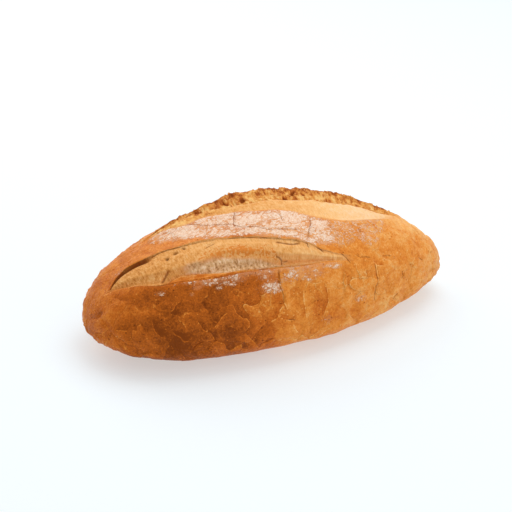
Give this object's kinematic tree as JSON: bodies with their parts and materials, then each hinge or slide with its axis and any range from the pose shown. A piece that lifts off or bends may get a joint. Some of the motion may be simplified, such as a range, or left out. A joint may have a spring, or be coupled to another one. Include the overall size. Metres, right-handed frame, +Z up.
{
  "type": "rustic bread loaf",
  "caption": "Long oval rustic loaf with a flat base, a crackled crust and two oven-opened cuts along its top.",
  "frame": {"origin": "on the board, under the middle of the loaf's length", "axes": "+X along the loaf, +Y across it to the back, +Z up"},
  "size_m": [0.2802, 0.1282, 0.0921],
  "materials": {
    "crust": "matte baked crust, golden to deep brown, with pale crumb in the cuts and a dusting of flour"
  },
  "bodies": {
    "root": {"loaf": "crust"}
  },
  "joints": []
}
